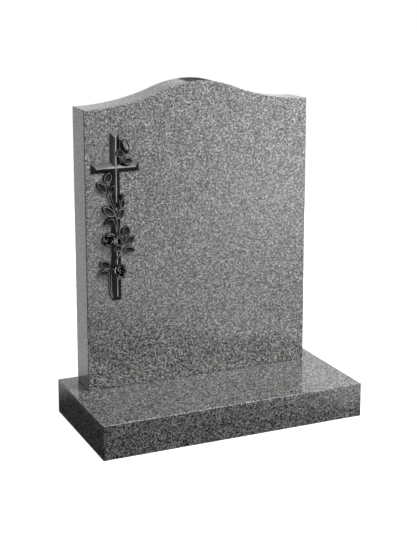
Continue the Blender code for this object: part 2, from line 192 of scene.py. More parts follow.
# The whorls of an open rose, outermost first: how many petals, the distance from the heart and the height
# from the root to the lip in shares of the rose's radius and depth, half the angle that a petal spans, and
# the turn of the first.
WHORLS = (
    (5, ((0.25, -0.40), (0.60, 0.10), (0.88, 0.34), (1.04, 0.30), (1.12, 0.16)), 41, 8),
    (4, ((0.24, -0.10), (0.46, 0.35), (0.62, 0.68), (0.76, 0.76), (0.84, 0.68)), 50, 31),
    (3, ((0.18, 0.00), (0.32, 0.50), (0.42, 0.90), (0.51, 1.00), (0.57, 0.96)), 60, 12),
    (2, ((0.08, 0.20), (0.18, 0.70), (0.24, 1.06), (0.29, 1.12)), 78, 70),
)

# The rosebud by the top of the cross: its calyx, its tip and their height, and its whorls as above.
BUD = ((7.2, 88.4), (5.0, 96.6), 0.0046)
BUD_WHORLS = (
    (5, ((0.30, 0.02), (0.84, 0.16), (1.00, 0.42), (0.80, 0.74), (0.42, 0.98)), 25, 20),
    (5, ((0.26, 0.04), (0.62, 0.18), (0.76, 0.45), (0.60, 0.80), (0.22, 1.02)), 27, 56),
)

# Each small round hip: across, up, height and size.
HIPS = ((4.2, 62.4, 0.0030, 1.0), (2.8, 36.4, 0.0060, 0.9), (1.5, 60.4, 0.0090, 0.45))

# The heart of the rose, and the bud's core and calyx, from end to end, in shares of their flower's radius
# and depth.
HEART = ((0, -1.3), (0.62, -1.3), (0.50, -0.2), (0.20, 0.45), (0.10, 0.80), (0, 0.86))
BUD_CORE = ((0, 0.02), (0.40, 0.06), (0.62, 0.40), (0.45, 0.75), (0, 0.95))
BUD_CALYX = ((0, -0.10), (0.22, -0.09), (0.34, -0.03), (0.55, 0.03), (0.50, 0.09), (0, 0.10))
BUD_TWIST = math.radians(20)

# How far the petals lean over one another in degrees, and over how much of each, from its lip down, the
# patina is rubbed, in the rose and in the bud.
ROSE_LEAN = 5
BUD_LEAN = 2
ROSE_LIP = 0.45
BUD_LIP = 2.0

# The steps in which a petal and a round body are spun.
PETAL_STEPS = 10
TURNED_STEPS = 20

# A petal's upper corners are drawn in and down by these shares of its length, along with what lies within
# this share of its width. The rub is gone at this many times its reach from the lip.
CORNER_IN = 0.10
CORNER_DOWN = 0.30
CORNER_REACH = 0.34
RUB_END = 1.35

# The hip, in shares of its radius: how high its crown starts, the crown's rim and dimple as width and rise,
# and how far from the middle the patina isn't rubbed.
HIP_CROWN = 0.80
HIP_RIM = (0.10, 0.05)
HIP_DIMPLE = (0.12, -0.45)
HIP_DARK = 0.35

# How much thinner a stem ends than it starts, and how proud the stems stand, from 0 in a hollow to 1 where
# the patina is rubbed.
STEM_TAPER = 0.25
STEM_PROUD = 0.5

# The stage: the floor's width, paint and glow, and the softboxes' size, places and aim.
FLOOR_SIZE = 60.0
FLOOR_PAINT = (0.8, 0.8, 0.8, 1.0)
FLOOR_GLOW = 0.93
SOFTBOX_SIZE = 0.9
SOFTBOX_PLACE = Vector((1.0, -0.9, 1.5))
BACK_PLACE = Vector((1.1, 1.8, 0.8))
LIGHT_AIM = Vector((0.0, 0.0, 0.35))
WHITE = (1.0, 1.0, 1.0, 1.0)

# The brightness of what surrounds the headstone: the ground by the base, the open ground and the far ground
# at the front right, the walls behind and in front, the lamp overhead, the dark screen, and the white that
# the camera sees.
GROUND_BY_BASE = 0.05
OPEN_GROUND = 1.85
FAR_GROUND = 1.7
BACK_WALL = 0.95
FRONT_WALL = 2.4
OVERHEAD_LAMP = 6.0
DARK_SCREEN = 0.02
SEEN_WHITE = 1.1


class StoneSettings(PropertyGroup):
    """Sizes and colours of the two granite stones."""

    crest_rise: FloatProperty(
        name="Crest Rise", description="Height of the crest above the shoulders", default=0.051, unit="LENGTH"
    )
    crest_radius: FloatProperty(
        name="Crest Radius", description="Radius of the round crest", default=0.225, unit="LENGTH"
    )
    arris: FloatProperty(
        name="Arris", description="Radius of the polished edges", default=0.0025, unit="LENGTH"
    )
    grain: FloatProperty(
        name="Grain", description="Width of the larger crystals", default=0.0021, unit="LENGTH"
    )
    pale_grain: FloatVectorProperty(
        name="Pale Crystals", description="Colour of the feldspar",
        subtype="COLOR", default=(0.42, 0.42, 0.408),
    )
    grey_grain: FloatVectorProperty(
        name="Grey Crystals", description="Colour of the quartz",
        subtype="COLOR", default=(0.19, 0.19, 0.185),
    )
    dark_grain: FloatVectorProperty(
        name="Dark Crystals", description="Colour of the mica",
        subtype="COLOR", default=(0.010, 0.010, 0.0095),
    )
    roughness: FloatProperty(
        name="Polish", description="Roughness of the polished faces", default=0.07, subtype="FACTOR"
    )


class CastingSettings(PropertyGroup):
    """Sizes and colours of the cast rose cross."""

    bar_width: FloatProperty(
        name="Bar Width", description="Width of the bars", default=0.0205, unit="LENGTH"
    )
    arm_drop: FloatProperty(
        name="Arm Drop",
        description="From the top down to the middle of the arms",
        default=0.0745,
        unit="LENGTH",
    )
    bar_edge: FloatProperty(
        name="Bar Edge", description="Height of the bars' upright edge", default=0.002, unit="LENGTH"
    )
    ridge_height: FloatProperty(
        name="Ridge Height",
        description="Height of the bars' ridge above the back",
        default=0.008,
        unit="LENGTH",
    )
    ridge_width: FloatProperty(
        name="Ridge Width", description="Width of the flat on the ridge", default=0.0016, unit="LENGTH"
    )
    leaf_length: FloatProperty(
        name="Leaf Length", description="Length of the leaf that is copied", default=0.025, unit="LENGTH"
    )
    leaf_width: FloatProperty(
        name="Leaf Width", description="Width of the leaf that is copied", default=0.0165, unit="LENGTH"
    )
    rose_radius: FloatProperty(
        name="Rose Radius", description="Radius of an open rose", default=0.0150, unit="LENGTH"
    )
    rose_depth: FloatProperty(
        name="Rose Depth", description="Depth of an open rose", default=0.0095, unit="LENGTH"
    )
    petal_thickness: FloatProperty(
        name="Petal Thickness", description="Thickness of a petal", default=0.0013, unit="LENGTH"
    )
    bud_width: FloatProperty(
        name="Bud Width", description="Width of the rosebud", default=0.0165, unit="LENGTH"
    )
    hip_radius: FloatProperty(
        name="Hip Radius", description="Radius of a hip", default=0.006, unit="LENGTH"
    )
    patina: FloatVectorProperty(
        name="Patina", description="Colour of the dark patina",
        subtype="COLOR", default=(0.006, 0.0059, 0.0056),
    )
    # This metal's colour also makes the painted sheen on faces that look straight outwards, besides the real
    # rub.
    rubbed: FloatVectorProperty(
        name="Rubbed Metal", description="Colour of the metal where the patina is rubbed",
        subtype="COLOR", default=(0.25, 0.246, 0.238),
    )
    roughness: FloatProperty(
        name="Roughness", description="Roughness of the rubbed metal", default=0.24, subtype="FACTOR"
    )


class StageSettings(PropertyGroup):
    """The camera and the light."""

    lens: FloatProperty(name="Lens", description="Focal length in millimetres", default=82.56)
    shift: FloatProperty(name="Shift", description="Vertical lens shift", default=-0.165)
    camera_place: FloatVectorProperty(
        name="Camera Place", description="Where the camera stands",
        subtype="TRANSLATION", default=(-1.0893, -2.4100, 1.0414),
    )
    camera_turn: FloatProperty(
        name="Camera Turn", description="Camera's turn to the right of straight ahead",
        subtype="ANGLE", default=math.radians(24.30),
    )
    camera_dip: FloatProperty(
        name="Camera Dip", description="Camera's dip below level",
        subtype="ANGLE", default=math.radians(10.87),
    )
    softbox_power: FloatProperty(
        name="Softbox Power", description="Power of the softbox at the front right in watts", default=24.5
    )
    back_power: FloatProperty(
        name="Back Power", description="Power of the softbox behind in watts", default=22.0
    )
    ambient: FloatProperty(
        name="Ambient", description="Brightness of the even light from all round", default=0.09
    )


def new_material(name):
    material = bpy.data.materials.new(name)
    material.use_nodes = True
    material.node_tree.nodes.clear()
    return material


def add_node(tree, kind, place, values=None, **settings):
    """A shader node of the kind, with its settings, and plain values or links on its inputs."""
    node = tree.nodes.new(kind)
    node.location = place
    for name, value in settings.items():
        setattr(node, name, value)
    for name, value in (values or {}).items():
        if isinstance(value, bpy.types.NodeSocket):
            tree.links.new(value, node.inputs[name])
        else:
            node.inputs[name].default_value = value
    return node


def calculate(tree, operation, place, *values):
    """The result of a math node."""
    return add_node(tree, "ShaderNodeMath", place, dict(enumerate(values)), operation=operation).outputs[0]


def product(tree, place, values):
    """All the values multiplied together."""
    result = values[0]
    for value in values[1:]:
        result = calculate(tree, "MULTIPLY", place, result, value)
    return result


def remap(tree, value, place, start, stop, low=0.0, high=1.0, curve="SMOOTHSTEP"):
    """What runs from low to high while the value runs from start to stop, and stays there beyond."""
    ends = {"From Min": start, "From Max": stop, "To Min": low, "To Max": high}
    node = add_node(tree, "ShaderNodeMapRange", place, {"Value": value, **ends}, interpolation_type=curve)
    return node.outputs["Result"]


def colour_ramp(tree, factor, place, stops, interpolation):
    """The colour at the factor between stops of a position and a colour."""
    ramp = add_node(tree, "ShaderNodeValToRGB", place, {"Fac": factor})
    elements = ramp.color_ramp.elements
    ramp.color_ramp.interpolation = interpolation
    while len(elements) > 1:
        elements.remove(elements[-1])
    for i, (position, colour) in enumerate(stops):
        element = elements[0] if i == 0 else elements.new(position)
        element.position = position
        element.color = (*colour, 1.0)
    return ramp.outputs["Color"]


def grey_ramp(tree, factor, place, stops):
    """The grey at the factor between stops of a position and a level."""
    greys = [(position, (level, level, level)) for position, level in stops]
    return colour_ramp(tree, factor, place, greys, "LINEAR")


def noise(tree, vector, place, size, detail):
    values = {"Vector": vector, "Scale": size, "Detail": detail}
    return add_node(tree, "ShaderNodeTexNoise", place, values).outputs


def crystals(tree, vector, place, size):
    """Three random values for each crystal of a jumble."""
    values = {"Vector": vector, "Scale": size, "Randomness": 1.0}
    cells = add_node(tree, "ShaderNodeTexVoronoi", place, values)
    beside = (place[0] + 200, place[1])
    return add_node(tree, "ShaderNodeSeparateColor", beside, {"Color": cells.outputs["Color"]}).outputs


def glow(tree, kind, place, colour, strength):
    """An emission or a background shader."""
    return add_node(tree, kind, place, {"Color": colour, "Strength": strength}).outputs[0]


def mixed(tree, place, factor, first, second):
    return add_node(tree, "ShaderNodeMixShader", place, {0: factor, 1: first, 2: second}).outputs[0]


def added(tree, place, first, second):
    return add_node(tree, "ShaderNodeAddShader", place, {0: first, 1: second}).outputs[0]


def granite(settings):
    """Polished grey granite: a jumble of pale feldspar, grey quartz and dark mica crystals."""
    material = new_material("polished_granite")
    tree = material.node_tree
    coords = add_node(tree, "ShaderNodeTexCoord", (-1600, 0)).outputs["Object"]
    # The crystals' outlines wander by up to most of a grain, and the flecks are under half as wide.
    wobble = noise(tree, coords, (-1400, -200), 1.2 / settings.grain, 2.0)["Color"]
    bent = add_node(
        tree,
        "ShaderNodeVectorMath",
        (-1200, 0),
        {0: wobble, 1: (settings.grain * 0.9,) * 3, 2: coords},
        operation="MULTIPLY_ADD",
    ).outputs["Vector"]
    grains = crystals(tree, bent, (-1000, 200), 1.0 / settings.grain)
    flecks = crystals(tree, bent, (-1000, -300), 2.2 / settings.grain)
    pale = Vector(settings.pale_grain)
    grey = Vector(settings.grey_grain)
    dark = Vector(settings.dark_grain)
    # Each crystal's colour by its random value, from the darkest to the palest.
    stops = (
        (0.0, dark),
        (0.29, dark * 4),
        (0.36, grey * 0.6),
        (0.45, grey),
        (0.57, (grey + pale) / 2),
        (0.67, pale * 1.15),
        (0.83, pale * 2.0),
    )
    colour = colour_ramp(tree, grains["Red"], (-600, 200), stops, "CONSTANT")
    for operation, bound, fleck, across in (
        ("LESS_THAN", 0.14, dark, -350),
        ("GREATER_THAN", 0.88, pale * 1.3, -150),
    ):
        is_fleck = calculate(tree, operation, (across - 200, -200), flecks["Green"], bound)
        colour = add_node(
            tree,
            "ShaderNodeMix",
            (across, 100),
            {"Factor": is_fleck, "A": colour, "B": (*fleck, 1.0)},
            data_type="RGBA",
        ).outputs["Result"]
    smoothest = settings.roughness * 0.6
    roughest = settings.roughness * 1.6
    polish = remap(tree, flecks["Blue"], (-350, -300), 0.0, 1.0, smoothest, roughest, "LINEAR")
    values = {"Base Color": colour, "Roughness": polish, "IOR": 1.54}
    shader = add_node(tree, "ShaderNodeBsdfPrincipled", (100, 0), values)
    add_node(tree, "ShaderNodeOutputMaterial", (400, 0), {"Surface": shader.outputs["BSDF"]})
    return material


def dark_bronze(settings):
    """Cast bronze with a near-black patina, rubbed to dark metal where it stands proud; faces that look
    straight outwards also get that metal as a painted sheen, and faces turned sideways keep the patina as
    painted shade.
    """
    material = new_material("dark_bronze")
    tree = material.node_tree
    coords = add_node(tree, "ShaderNodeTexCoord", (-1200, 0)).outputs
    facing = add_node(tree, "ShaderNodeSeparateXYZ", (-1000, 200), {"Vector": coords["Normal"]}).outputs["Y"]
    # Painted sheen and shade: the metal shows on faces that look straight outwards and fades, with a fine
    # mottle, to the patina on faces that turn from them. The real rub comes in patches.
    mottle = noise(tree, coords["Object"], (-1000, -100), 260.0, 4.0)["Fac"]
    uneven = calculate(tree, "MULTIPLY_ADD", (-800, 100), mottle, 0.08, facing)
    outwards = remap(tree, uneven, (-600, 100), -0.80, -0.93, 0.08, 1.0)
    proud = add_node(tree, "ShaderNodeAttribute", (-600, 350), attribute_name="proud").outputs["Fac"]
    handled = noise(tree, coords["Object"], (-1000, 400), 28.0, 2.0)["Fac"]
    patchy = remap(tree, handled, (-800, 400), 0.35, 0.65, 0.5, 1.0, "LINEAR")
    # The share of metal over patina: the real rub where the piece stands proud and in patches, times the
    # painted sheen on faces that look outwards.
    rubbed = product(tree, (-400, 200), (patchy, proud, outwards))
    patina_values = {"Base Color": (*settings.patina, 1.0), "Roughness": 0.32, "IOR": 1.27}
    patina = add_node(tree, "ShaderNodeBsdfPrincipled", (-200, 0), patina_values)
    metal_values = {"Base Color": (*settings.rubbed, 1.0), "Roughness": settings.roughness, "Metallic": 1.0}
    metal = add_node(tree, "ShaderNodeBsdfPrincipled", (-200, -400), metal_values)
    both = mixed(tree, (100, 0), rubbed, patina.outputs["BSDF"], metal.outputs["BSDF"])
    add_node(tree, "ShaderNodeOutputMaterial", (300, 0), {"Surface": both})
    return material


def deselect_all():
    if bpy.context.mode != "OBJECT":
        bpy.ops.object.mode_set(mode="OBJECT")
    bpy.ops.object.select_all(action="DESELECT")


def make_active(obj):
    deselect_all()
    obj.select_set(True)
    bpy.context.view_layer.objects.active = obj


def place_in_mesh():
    """Puts the active object's place, turn and size into its mesh."""
    bpy.ops.object.transform_apply(location=True, rotation=True, scale=True)


def edit_all():
    """Enters edit mode with everything selected."""
    bpy.ops.object.mode_set(mode="EDIT")
    bpy.ops.mesh.select_all(action="SELECT")


def select(obj, kind, wanted):
    """Leaves just the wanted corners, edges or faces selected, by the test and in the mode of their kind."""
    bpy.ops.mesh.select_mode(type=kind)
    bpy.ops.mesh.select_all(action="DESELECT")
    mesh = bmesh.from_edit_mesh(obj.data)
    for part in {"VERT": mesh.verts, "EDGE": mesh.edges, "FACE": mesh.faces}[kind]:
        part.select_set(wanted(part))
    if kind == "VERT":
        mesh.select_flush(True)
    bmesh.update_edit_mesh(obj.data)


def move(value, reach=0.0, falloff="SMOOTH"):
    """Moves what is selected, and with a reach also draws its surroundings along."""
    bpy.ops.transform.translate(
        value=value,
        use_proportional_edit=reach > 0,
        proportional_edit_falloff=falloff,
        proportional_size=max(reach, 0.001),
    )


def scale(value, centre=(0, 0, 0)):
    bpy.ops.transform.resize(value=value, center_override=centre)


def extrude(value):
    bpy.ops.mesh.extrude_region_move(TRANSFORM_OT_translate={"value": value})


def round_edges(radius, steps):
    bpy.ops.mesh.bevel(offset=radius, segments=steps, affect="EDGES", clamp_overlap=True)


def apply_modifier(obj, kind, **settings):
    bpy.ops.object.modifier_add(type=kind)
    modifier = obj.modifiers[-1]
    for name, value in settings.items():
        setattr(modifier, name, value)
    bpy.ops.object.modifier_apply(modifier=modifier.name)


def subdivide_surface(obj, levels):
    apply_modifier(obj, "SUBSURF", levels=levels, render_levels=levels)


def block(name, low, high):
    """A cube primitive brought to the box between two corners, its place and size in its mesh."""
    deselect_all()
    bpy.ops.mesh.primitive_cube_add(size=1.0, location=(low + high) / 2, scale=high - low)
    made = bpy.context.object
    made.name = name
    place_in_mesh()
    return made


def drawn_line(name, points):
    """A line drawn point by point: a plane merged to the first point, then extruded to each next one."""
    deselect_all()
    bpy.ops.mesh.primitive_plane_add(size=0.001, location=points[0])
    line = bpy.context.object
    line.name = name
    place_in_mesh()
    bpy.ops.object.mode_set(mode="EDIT")
    bpy.ops.mesh.select_mode(type="VERT")
    bpy.ops.mesh.select_all(action="SELECT")
    bpy.ops.mesh.merge(type="CENTER")
    for here, there in zip(points, points[1:]):
        bpy.ops.mesh.extrude_vertices_move(TRANSFORM_OT_translate={"value": there - here})
    return line


def copy_of(model, name, placed):
    """A copy of the model with its own mesh, put in its place."""
    made = bpy.data.objects.new(name, model.data.copy())
    bpy.context.scene.collection.objects.link(made)
    make_active(made)
    made.matrix_world = placed
    place_in_mesh()
    return made


def joined(name, shapes):
    deselect_all()
    for shape in shapes:
        shape.select_set(True)
    bpy.context.view_layer.objects.active = shapes[0]
    bpy.ops.object.join()
    whole = bpy.context.object
    whole.name = name
    return whole


def face_outwards(obj):
    """Welds the seams of a closed shape and turns every face outwards."""
    edit_all()
    bpy.ops.mesh.remove_doubles(threshold=WELD)
    bpy.ops.mesh.normals_make_consistent(inside=False)
    if bmesh.from_edit_mesh(obj.data).calc_volume(signed=True) < 0:
        bpy.ops.mesh.flip_normals()
    bpy.ops.object.mode_set(mode="OBJECT")


def cut_flat(obj):
    """Cuts the shape off along the casting's flat back, one closed shell at a time, closes each cut and gives
    the shells. One that lies too much behind the back is left out."""
    make_active(obj)
    edit_all()
    bpy.ops.mesh.separate(type="LOOSE")
    bpy.ops.object.mode_set(mode="OBJECT")
    kept = []
    for shell in list(bpy.context.selected_objects):
        depths = [corner.co.y - CROSS_FOOT.y for corner in shell.data.vertices]
        if sum(depth > 0 for depth in depths) > BURIED * len(depths):
            bpy.data.objects.remove(shell)
            continue
        if max(depths) > 0:
            make_active(shell)
            edit_all()
            bpy.ops.mesh.bisect(
                plane_co=CROSS_FOOT, plane_no=(0, 1, 0), threshold=0.000001, clear_outer=True, use_fill=True
            )
            bpy.ops.object.mode_set(mode="OBJECT")
        kept.append(shell)
    return kept


def mark_proud(obj, share):
    """Says how far each corner stands proud, from 0 in a hollow to 1 where the patina is rubbed."""
    marked = obj.data.attributes.new("proud", "FLOAT", "POINT")
    marked.data.foreach_set("value", [share(corner.co) for corner in obj.data.vertices])


def is_arris(edge, ground_height):
    """True for a sharp edge that isn't on the ground."""
    above = max(corner.co.z for corner in edge.verts) > ground_height + LEVEL
    return above and edge.calc_face_angle(0.0) > STONE_CREASE


def finish_stone(obj, node, context):
    """Rounds the arrises, smooths the shading, gives the granite and hangs the stone on the frame."""
    stone = context.scene.headstone_stone
    bpy.ops.object.mode_set(mode="EDIT")
    select(obj, "EDGE", lambda edge: is_arris(edge, BASE_BOX[0].z))
    round_edges(stone.arris, ARRIS_STEPS)
    bpy.ops.object.mode_set(mode="OBJECT")
    bpy.ops.object.shade_smooth_by_angle(angle=STONE_CREASE)
    apply_modifier(obj, "WEIGHTED_NORMAL", keep_sharp=True)
    obj.data.materials.append(bpy.data.materials.get("polished_granite") or granite(stone))
    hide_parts(node)
    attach(obj, "root")


def finish_casting(obj, context, crease=ROSE_CREASE):
    """Smooths the shading, gives the bronze and hangs the piece on the frame in the cross's place."""
    bpy.ops.object.shade_smooth_by_angle(angle=crease)
    obj.data.materials.clear()
    made = bpy.data.materials.get("dark_bronze")
    obj.data.materials.append(made or dark_bronze(context.scene.headstone_casting))
    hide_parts("rose_cross")
    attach(obj, "root")


class HEADSTONE_OT_base(Operator):
    """Build the flat granite base"""

    bl_idname = "headstone.base"
    bl_label = "Granite Base"

    def execute(self, context):
        finish_stone(block("granite_base", *BASE_BOX), "base", context)
        return {"FINISHED"}


def ogee_height(x, half_width, settings):
    """The top's height above the shoulders: a hollow arc, level at the shoulder, turning into the crest."""
    turn = 2 * math.atan2(settings.crest_rise, half_width)
    meeting = settings.crest_radius * math.sin(turn)
    if abs(x) <= meeting:
        return settings.crest_rise - settings.crest_radius + math.sqrt(settings.crest_radius**2 - x * x)
    hollow_radius = half_width / math.sin(turn) - settings.crest_radius
    inwards = half_width - abs(x)
    return hollow_radius - math.sqrt(hollow_radius**2 - inwards**2)


class HEADSTONE_OT_ogee(Operator):
    """Build the upright headstone with its ogee top"""

    bl_idname = "headstone.ogee"
    bl_label = "Ogee Headstone"

    def execute(self, context):
        stone = context.scene.headstone_stone
        low, high = STONE_BOX
        shoulder = Vector((high.x, high.y, high.z - stone.crest_rise))
        tablet = block("ogee_headstone", low, shoulder)
        half_width = (high.x - low.x) / 2
        bpy.ops.object.mode_set(mode="EDIT")
        select(tablet, "EDGE", lambda edge: abs(edge.verts[0].co.x - edge.verts[1].co.x) > half_width)
        bpy.ops.mesh.subdivide(number_cuts=SWEEP_COLUMNS - 1)
        for column in range(1, SWEEP_COLUMNS // 2 + 1):
            x = half_width * (1 - 2 * column / SWEEP_COLUMNS)
            select(
                tablet,
                "VERT",
                lambda corner: corner.co.z > shoulder.z - LEVEL
                and abs(abs(corner.co.x) - x) < half_width / SWEEP_COLUMNS / 4,
            )
            move((0, 0, ogee_height(x, half_width, stone)))
        bpy.ops.object.mode_set(mode="OBJECT")
        finish_stone(tablet, "headstone", context)
        return {"FINISHED"}


def at(across, up, height):
    """A point of the casting, from hundredths of the cross's height and a height above its back."""
    return CROSS_FOOT + Vector((across * HUNDREDTH, -height, up * HUNDREDTH))


def flower_frame(place, direction):
    """The frame of a flower at the place, whose +Z is the direction."""
    turn = Vector((0, 0, 1)).rotation_difference(Vector(direction).normalized())
    return Matrix.Translation(place) @ turn.to_matrix().to_4x4()


class HEADSTONE_OT_cross(Operator):
    """Build the bare cross, with slopes that rise to a narrow ridge"""

    bl_idname = "headstone.cross"
    bl_label = "Cross"

    def execute(self, context):
        casting = context.scene.headstone_casting
        half = casting.bar_width / 2
        low = CROSS_FOOT + Vector((-half, -casting.bar_edge, 0))
        high = CROSS_FOOT + Vector((half, 0, CROSS_HEIGHT))
        bars = block("cross_bars", low, high)
        arm_middle = high.z - casting.arm_drop
        bpy.ops.object.mode_set(mode="EDIT")
        for height in (arm_middle - half, arm_middle + half):
            bpy.ops.mesh.select_all(action="SELECT")
            bpy.ops.mesh.bisect(plane_co=(0, 0, height), plane_no=(0, 0, 1))
        arm_length = (CROSS_SPAN - casting.bar_width) / 2
        for side in (-1, 1):
            select(
                bars,
                "FACE",
                lambda face: face.normal.x * side > FACING
                and abs(face.calc_center_median().z - arm_middle) < half / 2,
            )
            extrude((side * arm_length, 0, 0))
        select(bars, "FACE", lambda face: face.normal.y < -FACING)
        bpy.ops.mesh.inset(
            thickness=(casting.bar_width - casting.ridge_width) / 2,
            depth=casting.ridge_height - casting.bar_edge,
            use_even_offset=True,
        )
        select(
            bars,
            "EDGE",
            lambda edge: is_arris(edge, BASE_BOX[0].z) and edge.verts[0].co.y < high.y - LEVEL,
        )
        round_edges(RIDGE_ROUNDING, 2)
        bpy.ops.object.mode_set(mode="OBJECT")
        face_outwards(bars)
        mark_proud(bars, lambda co: 1.0)
        finish_casting(bars, context, BAR_CREASE)
        return {"FINISHED"}


def model_leaf(casting):
    """The rose leaf that is copied: an oval drawn out to a tip, with a rolled rim, a dished middle and a
    raised vein. Its stalk end is at the origin, its tip along +Y and its face up."""
    deselect_all()
    bpy.ops.mesh.primitive_circle_add(
        vertices=LEAF_SIDES, radius=0.5, fill_type="NGON", location=(0, 0.5, 0)
    )
    leaf = bpy.context.object
    place_in_mesh()
    bpy.ops.object.mode_set(mode="EDIT")
    select(leaf, "VERT", lambda corner: corner.co.y > 0.99)
    move((0, LEAF_TIP, 0), LEAF_TIP_REACH, "SHARP")
    select(leaf, "VERT", lambda corner: corner.co.y < 0.01)
    move((0, -LEAF_STALK, 0), LEAF_STALK_REACH, "SHARP")
    bpy.ops.mesh.select_all(action="SELECT")
    unit = casting.leaf_length / (1 + LEAF_TIP + LEAF_STALK)
    scale((casting.leaf_width, unit, 1))
    move((0, LEAF_STALK * unit, 0))
    for width, rise in LEAF_RIM:
        bpy.ops.mesh.inset(thickness=width, depth=rise, use_even_offset=True)
    for share, drop in LEAF_DISH:
        extrude((0, 0, drop))
        scale((share, share, 1), (0, LEAF_MIDDLE * casting.leaf_length, 0))
    crest = max(corner.co.z for corner in bmesh.from_edit_mesh(leaf.data).verts)
    select(leaf, "FACE", lambda face: max(corner.co.z for corner in face.verts) < crest - LEAF_HOLLOW)
    bpy.ops.mesh.bisect(plane_co=(0, 0, 0), plane_no=(1, 0, 0))
    move((0, 0, LEAF_VEIN))
    bpy.ops.object.mode_set(mode="OBJECT")
    subdivide_surface(leaf, 2)
    crest = max(corner.co.z for corner in leaf.data.vertices)
    rub_start = crest - LEAF_RUB_START
    mark_proud(leaf, lambda co: min(max((co.z - rub_start) / LEAF_RUB_RISE, 0), 1))
    return leaf


def run_down_to_back(middle):
    """Carries the active leaf's outline down to the casting's back, a little drawn in, and closes it."""
    bpy.ops.object.mode_set(mode="EDIT")
    bpy.ops.mesh.select_mode(type="EDGE")
    bpy.ops.mesh.select_all(action="DESELECT")
    bpy.ops.mesh.select_non_manifold()
    extrude((0, 0, 0))
    scale((LEAF_FOOT, 0, LEAF_FOOT), (middle.x, CROSS_FOOT.y, middle.z))
    bpy.ops.mesh.edge_face_add()
    bpy.ops.object.mode_set(mode="OBJECT")


class HEADSTONE_OT_leaves(Operator):
    """Model one rose leaf and copy it to every place"""

    bl_idname = "headstone.leaves"
    bl_label = "Rose Leaves"

    def execute(self, context):
        casting = context.scene.headstone_casting
        model = model_leaf(casting)
        leaves = []
        for base, tip, width, base_height, tip_height in LEAVES:
            start = at(*base, base_height)
            run = at(*tip, tip_height) - start
            side = run.cross(OUTWARDS).normalized()
            up = side.cross(run).normalized()
            turned = Matrix((side, run.normalized(), up)).transposed().to_4x4()
            wider = LEAF_GROWTH[0] * width * HUNDREDTH / casting.leaf_width
            longer = LEAF_GROWTH[1] * run.length / casting.leaf_length
            placed = Matrix.Translation(start) @ turned @ Matrix.Diagonal((wider, longer, 1, 1))
            leaves.append(copy_of(model, "leaf", placed))
            run_down_to_back(start + run / 2)
        bpy.data.objects.remove(model)
        whole = joined("rose_leaves", leaves)
        face_outwards(whole)
        finish_casting(whole, context)
        return {"FINISHED"}


def draw_stem(radius, points):
    """A round stem along a smooth curve through the points, a little thinner towards its end."""
    curve = bpy.data.curves.new("stem", "CURVE")
    curve.dimensions = "3D"
    curve.bevel_depth = radius
    curve.bevel_resolution = 3
    curve.resolution_u = 6
    curve.use_fill_caps = True
    spline = curve.splines.new("BEZIER")
    spline.bezier_points.add(len(points) - 1)
    for i, (knot, point) in enumerate(zip(spline.bezier_points, points)):
        knot.co = at(*point)
        knot.handle_left_type = "AUTO"
        knot.handle_right_type = "AUTO"
        knot.radius = 1 - STEM_TAPER * i / len(points)
    stem = bpy.data.objects.new("stem", curve)
    bpy.context.scene.collection.objects.link(stem)
    make_active(stem)
    bpy.ops.object.convert(target="MESH")
    stem = bpy.context.object
    face_outwards(stem)
    return stem


class HEADSTONE_OT_stems(Operator):
    """Draw the climbing stems and their twigs"""

    bl_idname = "headstone.stems"
    bl_label = "Stems"

    def execute(self, context):
        shells = []
        for radius, *points in STEMS:
            shells += cut_flat(draw_stem(radius, points))
        whole = joined("rose_stems", shells)
        mark_proud(whole, lambda co: STEM_PROUD)
        finish_casting(whole, context)
        return {"FINISHED"}


def model_petal(radius, depth, stations, half_angle, thickness, lip_share):
    """A petal: its section drawn from root to lip, spun part of the way round the heart, its corners rounded.
    The lip share says over how much of it, from the lip down, it stands proud."""
    points = [Vector((share * radius, 0, rise * depth)) for share, rise in stations]
    petal = drawn_line("petal", points)
    bpy.ops.mesh.select_all(action="SELECT")
    sweep = 2 * math.radians(half_angle)
    bpy.ops.mesh.spin(steps=PETAL_STEPS, angle=sweep, center=(0, 0, 0), axis=(0, 0, 1))
    lip = points[-1]
    rim = [corner.co.copy() for corner in bmesh.from_edit_mesh(petal.data).verts]
    rim = [co for co in rim if abs(co.z - lip.z) < SAME]
    far = max(rim, key=lambda co: (co - lip).length)
    run = (points[-2] - points[0]).length
    for end, other in ((lip, far), (far, lip)):
        select(petal, "VERT", lambda corner: (corner.co - end).length < SAME)
        inwards = (other - end).normalized() * CORNER_IN * run
        down = (points[-2] - points[-1]).normalized() * CORNER_DOWN * run
        down = Vector((end.x, end.y, 0)).normalized() * down.x + Vector((0, 0, down.z))
        move(inwards + down, (other - end).length * CORNER_REACH)
    bpy.ops.object.mode_set(mode="OBJECT")
    apply_modifier(petal, "SOLIDIFY", thickness=thickness, offset=0.0)
    subdivide_surface(petal, 1)
    face_outwards(petal)
    reach = lip_share * (points[-1] - points[1]).length

    def proud(co):
        from_lip = math.hypot(co.xy.length - lip.x, co.z - lip.z)
        return min(max(RUB_END - from_lip / reach, 0), 1)

    mark_proud(petal, proud)
    return petal


def whorls_of(radius, depth, whorls, thickness, lip_share, lean):
    """All the petals of a flower about the origin, each whorl's petal modelled once and turned round."""
    shapes = []
    for count, stations, half_angle, start in whorls:
        petal = model_petal(radius, depth, stations, half_angle, thickness, lip_share)
        for i in range(count):
            turn = Matrix.Rotation(math.radians(start + 360 * i / count), 4, "Z")
            shapes.append(copy_of(petal, "petal", turn @ Matrix.Rotation(math.radians(lean), 4, "X")))
        bpy.data.objects.remove(petal)
    return shapes


def turned_shape(name, section, radius, depth):
    """A round body turned from a section that starts and ends on the Z axis."""
    body = drawn_line(name, [Vector((share * radius, 0, rise * depth)) for share, rise in section])
    bpy.ops.mesh.select_all(action="SELECT")
    bpy.ops.mesh.spin(steps=TURNED_STEPS, angle=2 * math.pi, center=(0, 0, 0), axis=(0, 0, 1))
    bpy.ops.object.mode_set(mode="OBJECT")
    face_outwards(body)
    mark_proud(body, lambda co: 0.0)
    return body


